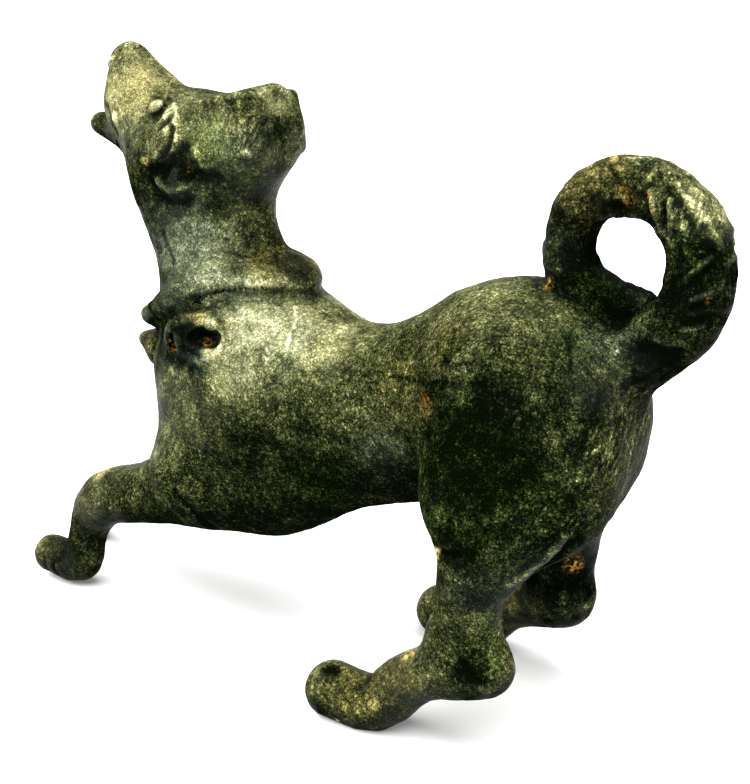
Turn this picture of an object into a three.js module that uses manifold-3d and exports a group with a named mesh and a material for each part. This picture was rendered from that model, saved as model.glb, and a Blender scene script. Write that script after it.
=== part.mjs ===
// A small cast bronze dog, one solid piece, in millimetres with Z up.
//
// The dog faces -X and its left side faces -Y. It crouches on its hind legs with its forelegs
// stretched out in front, its head thrown back, its mouth open and its tail curled into a ring.
// The origin is on the ground under the middle of the dog's box.
//
// The body is one distance field: tapered limbs and ellipsoids joined by soft fillets, with the
// carving cut into them. The field is turned into a closed mesh, the mesh is thinned where it is
// nearly flat, and the soles are cut flat on the ground.

import * as THREE from "three";
import { mergeVertices } from "three/addons/utils/BufferGeometryUtils.js";
import Module from "manifold-3d";

// Mesh fineness: the step of the sampling grid, and the number of triangles that are kept.
const GRID_STEP = 0.55;
const TRIANGLES = 9000;
const GRID_LOW = [-46.5, -15.5, -1.4];
const GRID_HIGH = [46, 15.5, 64.6];

// A shape is joined to those before it with a soft fillet of the size given with it.
// Trunk. An ellipsoid has a centre, three radii and a pitch about Y in degrees.
const CHEST = { at: [-7.4, 0, 24.5], radii: [12.2, 7.7, 13.2], pitch: -14 };
const SHOULDER = { at: [-9.6, 4.7, 22.0], radii: [5.6, 4.2, 8.2], pitch: -10, fillet: 4 };
const STERNUM = { at: [-0.9, 0, 19.2], radii: [9.6, 5.8, 4.9], pitch: -13, fillet: 3 };
const RUMP = { at: [27.8, 0, 33.1], radii: [9.2, 8.5, 10.3], pitch: -18, fillet: 4 };
const BUTTOCKS = { at: [30.2, -0.5, 30.3], radii: [5.8, 6.2, 9.6], pitch: -6, fillet: 4 };
// A barrel runs between two centres, with a radius at each and its width as a share of its height.
const RIBS = { from: [-3.5, 0, 29.4, 10.6], to: [10.4, 0, 27.6, 7.3], width: 0.88, fillet: 4 };
const LOIN = { from: [9.4, 0, 27.4, 7.4], to: [22, 0, 31.9, 10.1], width: 0.82, fillet: 4 };

// Neck and head.
const NECK_BASE = {
  from: [-9.6, 0, 32.6, 10.1],
  to: [-10.7, 0, 36.7, 8.0],
  width: 0.85,
  fillet: 3,
};
const NECK = { from: [-11, 0, 39.3, 7.2], to: [-14.8, 0, 49.2, 7.9], width: 0.77, fillet: 2 };
const SKULL = { at: [-15.8, 0, 53.2], radii: [7.3, 6.0, 5.5], pitch: 0, fillet: 3 };
// The back of the head ends in a blunt face that leans a little and has a rounded rim.
const BACK_OF_HEAD = {
  from: [-10.6, 0, 52.1, 6.3],
  to: [-2.7, 0, 56.5, 3.7],
  width: 1.02,
  fillet: 2,
  end: { x: -3.3, z: 55, lean: 0.12, rounding: 0.8 },
};
// A block squares the back of the head. It has half sizes and rounded edges.
const HEAD_BLOCK = {
  at: [-9.3, 0, 55.0],
  half: [5.4, 4.7, 3.3],
  round: 0.7,
  pitch: -10,
  fillet: 0.8,
};
const UPPER_JAW = {
  from: [-22.8, 0, 57.2, 4.4],
  to: [-24.5, 0, 61.3, 2.35],
  width: 0.95,
  fillet: 3.2,
};
const LOWER_JAW = {
  from: [-21.3, 0, 53.4, 2.8],
  to: [-29.6, 0, 54.8, 1.3],
  width: 1.1,
  fillet: 1.5,
};
const MOUTH = { from: [-24.0, 0, 55.5, 0.5], to: [-30.5, 0, 59.0, 2.3], width: 1.9, fillet: 0.5 };
// The eye is a boss in a round groove. The groove lies in the slope of the brow.
const EYE = { at: [-16.1, 4.15, 56.8], radii: [1.15, 1.15, 1.15], pitch: 0 };
const EYE_GROOVE = {
  at: [-16.1, 4.5, 57.1],
  slope: 45,
  radius: 1.45,
  halfWidth: 0.5,
  fillet: 0.3,
};
const EYE_CORNER = { from: [-14.9, 5.1, 56.7, 0.45], to: [-13.0, 5.0, 57.2, 0.2], fillet: 0.3 };

// The ears hang flat on the cheeks: a raised drop with two hollows and a ridge between them.
const EAR = { from: [-13.0, 4.9, 56.0, 1.2], to: [-11.9, 5.3, 50.4, 1.5], fillet: 1 };
const EAR_HOLLOWS = [
  { from: [-13.5, 6.9, 54.3, 0.45], to: [-13.0, 7.6, 51.2, 1.05], fillet: 0.4 },
  { from: [-11.3, 6.9, 53.6, 0.45], to: [-10.2, 7.5, 50.9, 1.1], fillet: 0.4 },
];

// Collar: a ring round the foot of the neck, tilted down to the front, with a groove under it.
// At the throat and the nape it sags, by a length for each square millimetre from its middle.
// Its section swells towards the nape.
const COLLAR = {
  at: [-11.8, 0, 38.5],
  pitch: -35,
  halfLength: 9.8,
  halfWidth: 6.8,
  throatSag: -0.025,
  napeSag: 0.056,
  drop: 0,
  radius: 1.15,
  swell: 0.3,
  fillet: 2,
};
const COLLAR_GROOVE = {
  ...COLLAR,
  at: [-11.1, 0, 38.95],
  halfLength: 9.4,
  drop: 1.35,
  radius: 0.5,
  swell: 0,
  fillet: 0.25,
};
// Front knob below the collar, and a boss on each side of it with two sockets.
const KNOB = { from: [-20.6, 0, 30.2, 2.5], to: [-24.7, 0, 31.6, 0.6], width: 1.1, fillet: 0.8 };
const BOSS = { from: [-10.8, 7.3, 34.3, 1.9], to: [-5.6, 7.1, 35.3, 1.9], fillet: 1.2 };
const SOCKETS = [
  { at: [-10.7, 8.7, 33.9], radii: [0.75, 1.5, 1.1], pitch: -15, fillet: 0.4 },
  { at: [-6.3, 8.9, 35.0], radii: [2.15, 1.9, 1.1], pitch: -8, fillet: 0.3 },
];

// Limbs. Each joint is x, y, z and the radius of the limb there. A limb runs smoothly through
// its joints.
const LEFT_FORELEG = {
  joints: [
    [-11.9, -5.8, 17.9, 4.8],
    [-17.2, -5.6, 15.3, 3.6],
    [-26.4, -5.5, 12.4, 3.0],
    [-30.4, -5.2, 7.4, 2.2],
    [-31.9, -5.4, 3.0, 2.4],
    [-36.6, -5.8, 2.9, 2.25],
  ],
  fillet: 3,
};
const RIGHT_FORELEG = {
  joints: [
    [-13.2, 5.0, 19.9, 4.6],
    [-24.4, 5.2, 13.3, 3.2],
    [-32.8, 5.2, 9.2, 2.6],
    [-38.6, 5.2, 5.5, 2.05],
    [-41.5, 5.3, 2.0, 1.8],
    [-42.9, 6.2, 1.6, 1.8],
  ],
  fillet: 3,
};
const LEFT_THIGH = { at: [28.8, -5.8, 30.2], radii: [8.8, 5.0, 10.8], pitch: -15, fillet: 4 };
const RIGHT_THIGH = { at: [25.8, 5.6, 30.1], radii: [8.1, 4.8, 10.8], pitch: -18, fillet: 4 };
const LEFT_SHANK = {
  joints: [
    [26.7, -8.3, 25.2, 5.5],
    [27.4, -9.1, 20.8, 4.1],
    [26.3, -9.6, 16.5, 3.0],
    [27.5, -9.6, 10.7, 2.5],
  ],
  fillet: 3,
};
const RIGHT_SHANK = {
  joints: [
    [27.2, 7.9, 21.2, 4.1],
    [25.4, 9.2, 17.1, 3.9],
    [25.9, 9.6, 11.9, 2.8],
    [25.7, 9.7, 9.4, 2.9],
  ],
  fillet: 3,
};
const LEFT_ANKLE = { at: [24.8, -9.6, 11.2], radii: [3.0, 2.4, 3.8], pitch: 0, fillet: 2 };
const RIGHT_ANKLE = { at: [23.4, 9.7, 10.4], radii: [3.2, 2.4, 3.6], pitch: 0, fillet: 2 };
const LEFT_HIND_FOOT = {
  joints: [
    [28.3, -9.5, 9.6, 2.3],
    [21.2, -9.8, 7.1, 2.5],
    [16.4, -10.1, 2.6, 2.7],
    [11.5, -10.7, 2.7, 2.8],
  ],
  fillet: 2,
};
const RIGHT_HIND_FOOT = {
  joints: [
    [25.6, 9.7, 8.8, 2.8],
    [19.4, 10.0, 6.1, 2.6],
    [15.0, 10.4, 2.5, 2.8],
    [10.0, 10.8, 2.3, 2.9],
  ],
  fillet: 2,
};

// The tail leaves the rump backwards and curls up and forward into a ring. Its tip rests against
// its root, so that the ring is closed.
const TAIL = {
  joints: [
    [33.8, 0, 35.8, 3.4],
    [38.4, 0, 39.5, 3.1],
    [41.0, 0, 42.0, 2.85],
    [41.8, 0, 45.6, 2.8],
    [40.9, 0, 49.2, 2.75],
    [38.4, 0, 51.5, 2.6],
    [35.4, 0, 52.3, 2.5],
    [32.5, 0, 51.7, 2.35],
    [30.6, 0, 50.1, 2.3],
    [29.8, 0, 47.9, 2.2],
    [29.9, 0, 45.4, 2.25],
    [32.3, 0, 43.4, 1.9],
    [36.8, 0, 42.5, 1.3],
  ],
  fillet: 1.6,
};

// The gap between the tail's root and the ring is filled.
const TAIL_GAP = { at: [33.9, 0, 41.5], radii: [2.8, 1.3, 1.7], pitch: 0, fillet: 1 };

// The bronze: a dark olive patina.
const PATINA = { color: 0x4a5238, roughness: 0.6, metalness: 0.7 };

const { abs, cos, max, min, sin, sqrt } = Math;
// A length too small to matter, which keeps divisors from zero.
const TINY = 1e-6;
const length = (x, y, z = 0) => sqrt(x * x + y * y + z * z);

// Soft union and soft cut of two distances. Where the two are equal, the union's surface is
// raised by a quarter of the fillet.
const FILLET_RISE = 0.25;
function join(a, b, fillet) {
  const h = max(fillet - abs(a - b), 0) / fillet;
  return min(a, b) - h * h * fillet * FILLET_RISE;
}
function cut(a, b, fillet) {
  return -join(-a, b, fillet);
}

// An ellipsoid, pitched about Y.
function ellipsoid({ at, radii, pitch }) {
  const c = cos(THREE.MathUtils.degToRad(pitch));
  const s = sin(THREE.MathUtils.degToRad(pitch));
  return (x, y, z) => {
    const dx = x - at[0];
    const dz = z - at[2];
    const u = (dx * c - dz * s) / radii[0];
    const v = (y - at[1]) / radii[1];
    const w = (dx * s + dz * c) / radii[2];
    const far = length(u, v, w);
    const slope = length(u / radii[0], v / radii[1], w / radii[2]);
    return (far * (far - 1)) / max(slope, TINY);
  };
}

// A tapered bar with round ends. Its width across Y is a share of its height.
function bar({ from, to, width = 1 }) {
  const axis = [to[0] - from[0], (to[1] - from[1]) / width, to[2] - from[2]];
  const square = axis[0] ** 2 + axis[1] ** 2 + axis[2] ** 2;
  const thin = min(width, 1);
  return (x, y, z) => {
    const dx = x - from[0];
    const dy = (y - from[1]) / width;
    const dz = z - from[2];
    const along = (dx * axis[0] + dy * axis[1] + dz * axis[2]) / square;
    const t = min(max(along, 0), 1);
    const away = length(dx - t * axis[0], dy - t * axis[1], dz - t * axis[2]);
    return (away - from[3] - t * (to[3] - from[3])) * thin;
  };
}

// All the balls between two end balls, so that the sides run smoothly into both.
function horn({ from, to, width = 1 }) {
  const axis = [to[0] - from[0], (to[1] - from[1]) / width, to[2] - from[2]];
  const size = length(...axis);
  const sine = (from[3] - to[3]) / size;
  const lean = sine / sqrt(1 - sine * sine);
  const thin = min(width, 1);
  return (x, y, z) => {
    const dx = x - from[0];
    const dy = (y - from[1]) / width;
    const dz = z - from[2];
    const along = (dx * axis[0] + dy * axis[1] + dz * axis[2]) / size;
    const aside = sqrt(max(dx * dx + dy * dy + dz * dz - along * along, 0));
    const t = min(max((along - aside * lean) / size, 0), 1);
    return (length(aside, along - t * size) - from[3] - t * (to[3] - from[3])) * thin;
  };
}

// A block with rounded edges, pitched about Y.
function block({ at, half, round, pitch }) {
  const c = cos(THREE.MathUtils.degToRad(pitch));
  const s = sin(THREE.MathUtils.degToRad(pitch));
  return (x, y, z) => {
    const dx = x - at[0];
    const dz = z - at[2];
    const u = abs(dx * c - dz * s) - half[0] + round;
    const v = abs(y - at[1]) - half[1] + round;
    const w = abs(dx * s + dz * c) - half[2] + round;
    return length(max(u, 0), max(v, 0), max(w, 0)) + min(max(u, v, w), 0) - round;
  };
}

// A smooth run of points and radii through the joints, with some steps between each two.
const STEPS = 3;
function curveThrough(joints) {
  const beyond = (end, next) => end.map((value, i) => 2 * value - next[i]);
  const held = [
    beyond(joints[0], joints[1]),
    ...joints,
    beyond(joints.at(-1), joints.at(-2)),
  ];
  const points = joints.slice(1).flatMap((_, i) =>
    [...Array(STEPS).keys()].map((step) => {
      const t = step / STEPS;
      const [a, b, c, d] = held.slice(i, i + 4);
      return b.map((value, n) => {
        const square = 2 * a[n] - 5 * value + 4 * c[n] - d[n];
        const cube = 3 * value - a[n] - 3 * c[n] + d[n];
        return (2 * value + (c[n] - a[n]) * t + square * t ** 2 + cube * t ** 3) / 2;
      });
    }),
  );
  return [...points, joints.at(-1)];
}

// A round limb along the smooth run through its joints.
function limb({ joints }) {
  const line = curveThrough(joints);
  const horns = line.slice(1).map((to, i) => horn({ from: line[i], to }));
  return (x, y, z) => horns.reduce((d, f) => min(d, f(x, y, z)), Infinity);
}

// An elliptical ring of round section, pitched about Y and shifted along its own axis.
function ring({ at, pitch, halfLength, halfWidth, throatSag, napeSag, drop, radius, swell }) {
  const c = cos(THREE.MathUtils.degToRad(pitch));
  const s = sin(THREE.MathUtils.degToRad(pitch));
  const mean = (halfLength + halfWidth) / 2;
  return (x, y, z) => {
    const dx = x - at[0];
    const dz = z - at[2];
    const u = ((dx * c - dz * s) / halfLength) * mean;
    const v = (y / halfWidth) * mean;
    const w = dx * s + dz * c + drop + (u < 0 ? throatSag : napeSag) * u * u;
    const out = length(u, v);
    const reach = halfWidth + ((halfLength - halfWidth) * abs(u)) / max(out, TINY);
    const thick = radius + swell * min(max(u / mean, 0), 1);
    return length(((out - mean) * reach) / mean, w) - thick;
  };
}

// The back of the head, cut off by its blunt end.
function backOfHead({ end, ...lobe }) {
  const whole = bar(lobe);
  return (x, y, z) => {
    const inFront = end.x - x - end.lean * (z - end.z);
    return cut(whole(x, y, z), inFront, end.rounding);
  };
}

// A round groove leaves the middle standing as a boss.
function roundGroove({ at, slope, radius, halfWidth }) {
  const c = cos(THREE.MathUtils.degToRad(slope));
  const s = sin(THREE.MathUtils.degToRad(slope));
  return (x, y, z) => {
    const dy = y - at[1];
    const dz = z - at[2];
    const out = dy * c + dz * s;
    const across = length(x - at[0], dz * c - dy * s);
    return length(across - radius, out) - halfWidth;
  };
}

// A shape given for the +Y side, repeated on the -Y side.
function bothSides(make) {
  return (spec) => {
    const shape = make(spec);
    return (x, y, z) => shape(x, abs(y), z);
  };
}

const made = ([make, spec]) => ({ shape: make(spec), fillet: spec.fillet });
const BODY = [
  [ellipsoid, STERNUM],
  [bothSides(ellipsoid), SHOULDER],
  [bar, RIBS],
  [bar, LOIN],
  [ellipsoid, RUMP],
  [ellipsoid, BUTTOCKS],
  [bar, NECK_BASE],
  [bar, NECK],
  [ellipsoid, SKULL],
  [backOfHead, BACK_OF_HEAD],
  [block, HEAD_BLOCK],
  [horn, UPPER_JAW],
  [horn, LOWER_JAW],
  [bothSides(bar), EAR],
  [limb, LEFT_FORELEG],
  [limb, RIGHT_FORELEG],
  [ellipsoid, LEFT_THIGH],
  [ellipsoid, RIGHT_THIGH],
  [limb, LEFT_SHANK],
  [limb, RIGHT_SHANK],
  [ellipsoid, LEFT_ANKLE],
  [ellipsoid, RIGHT_ANKLE],
  [limb, LEFT_HIND_FOOT],
  [limb, RIGHT_HIND_FOOT],
  [limb, TAIL],
  [ellipsoid, TAIL_GAP],
  [ring, COLLAR],
  [horn, KNOB],
  [bothSides(bar), BOSS],
].map(made);
const CARVING = [
  [bar, MOUTH],
  [bothSides(roundGroove), EYE_GROOVE],
  [bothSides(bar), EYE_CORNER],
  ...EAR_HOLLOWS.map((hollow) => [bothSides(bar), hollow]),
  [ring, COLLAR_GROOVE],
  ...SOCKETS.map((socket) => [bothSides(ellipsoid), socket]),
].map(made);
const chest = ellipsoid(CHEST);
const eyes = bothSides(ellipsoid)(EYE);

// Distance to the whole dog, negative inside.
function dog(x, y, z) {
  let d = chest(x, y, z);
  for (const { shape, fillet } of BODY) d = join(d, shape(x, y, z), fillet);
  for (const { shape, fillet } of CARVING) d = cut(d, shape(x, y, z), fillet);
  return min(d, eyes(x, y, z));
}

// A cell's corners by the bits of their number: 1 for X, 2 for Y, 4 for Z.
const CORNERS = [...Array(8).keys()].map((n) => [n & 1, (n >> 1) & 1, n >> 2]);
// A cell is split into six tetrahedra round its long diagonal, each turned the same way.
const TETRAHEDRA = [
  [0, 1, 3, 7],
  [0, 5, 1, 7],
  [0, 3, 2, 7],
  [0, 2, 6, 7],
  [0, 4, 5, 7],
  [0, 6, 4, 7],
];
// Even orders of a tetrahedron's corners, by the bits of the corners that are inside.
const ONE_INSIDE = { 1: [0, 1, 2, 3], 2: [1, 0, 3, 2], 4: [2, 0, 1, 3], 8: [3, 0, 2, 1] };
const TWO_INSIDE = {
  3: [0, 1, 2, 3],
  5: [0, 2, 3, 1],
  9: [0, 3, 1, 2],
  6: [1, 2, 0, 3],
  10: [1, 3, 2, 0],
  12: [2, 3, 0, 1],
};
// A node nearer to the surface than this share of a step counts as just outside.
const NEAR_ZERO = 0.02;
// The nodes along a block, and the share of its side beyond which its middle is far off.
const BLOCK = 6;
const FAR = 1.5;

// Closed triangle mesh of the field's zero surface, by tetrahedra on a regular lattice.
function polygonise(field, low, high, step) {
  const count = low.map((v, i) => Math.ceil((high[i] - v) / step) + 1);
  const strides = [1, count[0], count[0] * count[1]];
  const values = new Float32Array(strides[2] * count[2]);
  const place = (i, j, k) => [low[0] + i * step, low[1] + j * step, low[2] + k * step];
  // The nodes are filled in blocks. A block whose middle is far from the surface needs one value.
  const upTo = (start, axis) => min(start + BLOCK, count[axis]);
  for (let k0 = 0; k0 < count[2]; k0 += BLOCK)
    for (let j0 = 0; j0 < count[1]; j0 += BLOCK)
      for (let i0 = 0; i0 < count[0]; i0 += BLOCK) {
        const middle = field(...place(i0 + BLOCK / 2, j0 + BLOCK / 2, k0 + BLOCK / 2));
        const isFar = abs(middle) > BLOCK * step * FAR;
        for (let k = k0; k < upTo(k0, 2); k++)
          for (let j = j0; j < upTo(j0, 1); j++)
            for (let i = i0; i < upTo(i0, 0); i++) {
              const x = low[0] + i * step;
              const d = isFar ? middle : field(x, low[1] + j * step, low[2] + k * step);
              values[i + j * strides[1] + k * strides[2]] =
                abs(d) < NEAR_ZERO * step ? NEAR_ZERO * step : d;
            }
      }
  const placeOf = (n) => {
    const inLayer = n % strides[2];
    const j = Math.floor(inLayer / strides[1]);
    return place(inLayer - j * strides[1], j, (n - inLayer) / strides[2]);
  };
  const positions = [];
  const triangles = [];
  const known = new Map();
  // The vertex where the surface crosses the lattice edge between two nodes, made once.
  const vertex = (a, b) => {
    const [first, second] = a < b ? [a, b] : [b, a];
    const key = first * 2 * strides[2] + second - first;
    if (!known.has(key)) {
      const t = values[first] / (values[first] - values[second]);
      const end = placeOf(second);
      known.set(key, positions.length);
      positions.push(placeOf(first).map((v, i) => v + t * (end[i] - v)));
    }
    return known.get(key);
  };
  const offsets = CORNERS.map(([i, j, k]) => i + j * strides[1] + k * strides[2]);
  for (let k = 0; k < count[2] - 1; k++)
    for (let j = 0; j < count[1] - 1; j++)
      for (let i = 0; i < count[0] - 1; i++) {
        const base = i + j * strides[1] + k * strides[2];
        const filled = offsets.filter((o) => values[base + o] < 0).length;
        if (filled === 0 || filled === 8) continue;
        for (const corners of TETRAHEDRA) {
          const nodes = corners.map((c) => base + offsets[c]);
          const inside = nodes.reduce((bits, n, i) => bits + (values[n] < 0 ? 1 << i : 0), 0);
          if (inside === 0 || inside === 15) continue;
          const order = TWO_INSIDE[inside] ?? ONE_INSIDE[inside] ?? ONE_INSIDE[15 - inside];
          const [a, b, c, d] = order.map((o) => nodes[o]);
          if (inside in TWO_INSIDE) {
            const [p, q, r, s] = [vertex(a, c), vertex(a, d), vertex(b, d), vertex(b, c)];
            triangles.push([p, q, r], [p, r, s]);
          } else {
            const face = [vertex(a, b), vertex(a, c), vertex(a, d)];
            triangles.push(inside in ONE_INSIDE ? face : face.reverse());
          }
        }
      }
  return { positions, triangles };
}

const minus = (p, q) => [p[0] - q[0], p[1] - q[1], p[2] - q[2]];
const dot = (p, q) => p[0] * q[0] + p[1] * q[1] + p[2] * q[2];
const cross = (p, q) => [
  p[1] * q[2] - p[2] * q[1],
  p[2] * q[0] - p[0] * q[2],
  p[0] * q[1] - p[1] * q[0],
];
const faceNormal = (p, q, r) => cross(minus(q, p), minus(r, p));

// How thinning weighs an edge: a short edge goes first where the surface is flat, a face may
// turn only this far, and a pass takes only this share of the edges.
const SHORT_FIRST = 2e-4;
const LEAST_TURN = 0.35;
const PASS_SHARE = 0.3;
// How strongly a merged vertex is held to the middle of its edge where it could slide.
const HOLD = 1e-3;

// The squared distances to the planes of a vertex's faces, as one quadratic form.
function quadricOf(normal, point) {
  const area = Math.sqrt(dot(normal, normal));
  const n = normal.map((v) => v / max(area, TINY ** 2));
  const d = -dot(n, point);
  const [a, b, c] = n;
  return [a * a, a * b, a * c, b * b, b * c, c * c, a * d, b * d, c * d, d * d].map((v) => v * area);
}
function quadricAt(q, [x, y, z]) {
  return (
    q[0] * x * x + 2 * q[1] * x * y + 2 * q[2] * x * z + q[3] * y * y + 2 * q[4] * y * z +
    q[5] * z * z + 2 * (q[6] * x + q[7] * y + q[8] * z) + q[9]
  );
}
// The point of least distance, found by Cramer's rule.
function quadricLeast(q, middle) {
  const hold = HOLD * (q[0] + q[3] + q[5] + TINY);
  const rows = [[q[0] + hold, q[1], q[2]], [q[1], q[3] + hold, q[4]], [q[2], q[4], q[5] + hold]];
  const right = middle.map((v, i) => hold * v - q[6 + i]);
  const whole = dot(rows[0], cross(rows[1], rows[2]));
  return [0, 1, 2].map((column) => {
    const [u, v, w] = rows.map((row, i) => row.map((entry, j) => (j === column ? right[i] : entry)));
    return dot(u, cross(v, w)) / whole;
  });
}

// Merge the ends of edges, those that move the surface least first, until few triangles are left.
// An edge is merged only if the mesh stays one closed surface and no face turns over.
function thin({ positions, triangles }, target) {
  const faces = triangles.slice();
  const around = positions.map(() => new Set());
  faces.forEach((face, f) => face.forEach((v) => around[v].add(f)));
  const quadrics = positions.map((point, v) => {
    const sum = new Array(10).fill(0);
    for (const f of around[v]) {
      const q = quadricOf(faceNormal(...faces[f].map((i) => positions[i])), point);
      q.forEach((value, i) => (sum[i] += value));
    }
    return sum;
  });
  const neighbours = (v) => {
    const found = new Set();
    for (const f of around[v]) faces[f].forEach((i) => found.add(i));
    found.delete(v);
    return found;
  };
  const staysUpright = (v, gone, point) => {
    for (const f of around[v]) {
      if (faces[f].includes(gone)) continue;
      const before = faceNormal(...faces[f].map((i) => positions[i]));
      const after = faceNormal(...faces[f].map((i) => (i === v ? point : positions[i])));
      const sizes = Math.sqrt(dot(before, before) * dot(after, after));
      if (dot(before, after) <= LEAST_TURN * sizes) return false;
    }
    return true;
  };
  let left = faces.length;
  while (left > target) {
    const edges = [];
    faces.forEach((face) => {
      if (!face) return;
      face.forEach((a, i) => {
        const b = face[(i + 1) % 3];
        if (a > b) return;
        const q = quadrics[a].map((value, n) => value + quadrics[b][n]);
        const middle = positions[a].map((value, n) => (value + positions[b][n]) / 2);
        const point = quadricLeast(q, middle);
        const span = minus(positions[a], positions[b]);
        const cost = quadricAt(q, point) + SHORT_FIRST * dot(span, span) ** 2;
        edges.push({ a, b, q, point, cost });
      });
    });
    edges.sort((e, f) => e.cost - f.cost);
    edges.length = Math.ceil(edges.length * PASS_SHARE);
    const touched = new Set();
    const before = left;
    for (const { a, b, q, point } of edges) {
      if (left <= target) break;
      if (touched.has(a) || touched.has(b)) continue;
      const near = neighbours(a);
      const common = [...neighbours(b)].filter((v) => near.has(v));
      if (common.length !== 2 || !staysUpright(a, b, point) || !staysUpright(b, a, point)) continue;
      for (const f of [...around[b]]) {
        const face = faces[f];
        if (face.includes(a)) {
          face.forEach((v) => around[v].delete(f));
          faces[f] = null;
          left--;
        } else {
          faces[f] = face.map((v) => (v === b ? a : v));
          around[a].add(f);
        }
      }
      around[b].clear();
      positions[a] = point;
      quadrics[a] = q;
      near.forEach((v) => touched.add(v));
      neighbours(a).forEach((v) => touched.add(v));
      touched.add(a);
    }
    if (left === before) break;
  }
  return { positions, triangles: faces.filter((face) => face) };
}

// Move a vertex towards the field's zero surface. The slope is taken between two points a probe
// to each side, and one move is at most a share of the grid's step.
const PROBE = 0.02;
const LEAST_SLOPE = 0.5;
const LONGEST_MOVE = GRID_STEP / 3;
function settle(point, field) {
  const [x, y, z] = point;
  const slope = [
    field(x + PROBE, y, z) - field(x - PROBE, y, z),
    field(x, y + PROBE, z) - field(x, y - PROBE, z),
    field(x, y, z + PROBE) - field(x, y, z - PROBE),
  ].map((v) => v / (2 * PROBE));
  const size = max(dot(slope, slope), LEAST_SLOPE ** 2);
  const d = min(max(field(x, y, z), -LONGEST_MOVE), LONGEST_MOVE);
  return point.map((v, i) => v - (slope[i] * d) / size);
}

// Everything below the ground is cut away, which leaves the soles flat.
const WELD = 1e-4;
const GROUND_DEPTH = 20;
function standOnGround(geometry, wasm) {
  const solid = (shape) => {
    for (const name of ["normal", "uv"]) shape.deleteAttribute(name);
    const merged = mergeVertices(shape, WELD);
    const vertProperties = merged.attributes.position.array;
    const triVerts = new Uint32Array(merged.index.array);
    return new wasm.Manifold(new wasm.Mesh({ numProp: 3, vertProperties, triVerts }));
  };
  const [long, wide] = minus(GRID_HIGH, GRID_LOW).map((size) => 2 * size);
  const ground = new THREE.BoxGeometry(long, wide, GROUND_DEPTH);
  ground.translate(0, 0, -GROUND_DEPTH / 2);
  const { vertProperties, triVerts } = solid(geometry).subtract(solid(ground)).getMesh();
  return new THREE.BufferGeometry()
    .setAttribute("position", new THREE.BufferAttribute(vertProperties, 3))
    .setIndex(new THREE.BufferAttribute(triVerts, 1));
}

const wasm = await Module();
wasm.setup();

const rough = polygonise(dog, GRID_LOW, GRID_HIGH, GRID_STEP);
const { positions, triangles } = thin(rough, TRIANGLES);
const settled = positions.map((point) => settle(settle(point, dog), dog));
const cast = standOnGround(
  new THREE.BufferGeometry()
    .setAttribute("position", new THREE.Float32BufferAttribute(settled.flat(), 3))
    .setIndex(triangles.flat()),
  wasm,
);
cast.computeVertexNormals();

const figurine = new THREE.Mesh(cast, new THREE.MeshStandardMaterial(PATINA));
figurine.name = "dog";

const group = new THREE.Group();
group.add(figurine);
export default group;
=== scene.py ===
# A small cast bronze dog with a dark olive patina, on a pale floor.
#
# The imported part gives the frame, in metres with Z up. The dog faces -X and its left side faces
# -Y. Its body is one distance field in millimetres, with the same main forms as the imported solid
# and finer carving. It is meshed finely, given the low relief of an old casting, and shown in
# place of that solid.

import math
from concurrent.futures import ThreadPoolExecutor

import bpy
import numpy as np
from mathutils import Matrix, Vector


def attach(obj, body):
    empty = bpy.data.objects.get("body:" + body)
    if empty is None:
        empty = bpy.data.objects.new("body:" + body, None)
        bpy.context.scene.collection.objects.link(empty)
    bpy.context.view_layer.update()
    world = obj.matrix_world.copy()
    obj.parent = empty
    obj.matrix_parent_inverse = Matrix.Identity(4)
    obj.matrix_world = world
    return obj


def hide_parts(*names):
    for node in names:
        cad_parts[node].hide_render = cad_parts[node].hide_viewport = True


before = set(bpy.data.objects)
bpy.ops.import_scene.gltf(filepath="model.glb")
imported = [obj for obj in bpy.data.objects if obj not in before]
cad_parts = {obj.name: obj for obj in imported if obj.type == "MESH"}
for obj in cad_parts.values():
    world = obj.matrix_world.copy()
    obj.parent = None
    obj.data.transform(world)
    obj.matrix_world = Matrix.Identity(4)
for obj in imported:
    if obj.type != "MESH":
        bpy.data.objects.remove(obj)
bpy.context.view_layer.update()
MM = 0.001

# The mesh: step of the sampling grid in mm, the box it fills, and the triangles that are kept.
GRID_STEP = 0.25
GRID_LOW = np.array([-46.5, -15.5, -1.2])
GRID_HIGH = np.array([46.0, 15.5, 65.0])
TRIANGLES = 190000

# The dog's measures, in mm. A point of a bar or limb is x, y, z and the radius there. Shoulders,
# ears, eyes, bosses and sockets are given for the right side and mirrored.
CHEST = dict(at=(-7.4, 0, 24.5), radii=(12.2, 7.7, 13.2), pitch=-14)
SHOULDER = dict(at=(-9.6, 4.7, 22.0), radii=(5.6, 4.2, 8.2), pitch=-10, fillet=4)
STERNUM = dict(at=(-0.9, 0, 19.2), radii=(9.6, 5.8, 4.9), pitch=-13, fillet=3)
RUMP = dict(at=(27.8, 0, 33.1), radii=(9.2, 8.5, 10.3), pitch=-18, fillet=4)
BUTTOCKS = dict(at=(30.2, -0.5, 30.3), radii=(5.8, 6.2, 9.6), pitch=-6, fillet=4)
RIBS = dict(a=(-3.5, 0, 29.4, 10.6), b=(10.4, 0, 27.6, 7.3), width=0.88, fillet=4)
LOIN = dict(a=(9.4, 0, 27.4, 7.4), b=(22, 0, 31.9, 10.1), width=0.82, fillet=4)
NECK_BASE = dict(a=(-9.6, 0, 32.6, 10.1), b=(-10.7, 0, 36.7, 8.0), width=0.85, fillet=3)
NECK = dict(a=(-11, 0, 39.3, 7.2), b=(-14.8, 0, 49.2, 7.9), width=0.77, fillet=2)
SKULL = dict(at=(-15.8, 0, 53.2), radii=(7.3, 6.0, 5.5), fillet=3)
BACK_OF_HEAD = dict(a=(-10.6, 0, 52.1, 6.3), b=(-2.7, 0, 56.5, 3.7), width=1.02, fillet=2)
HEAD_END = dict(x=-3.3, z=55, lean=0.12, rounding=0.8)
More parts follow.
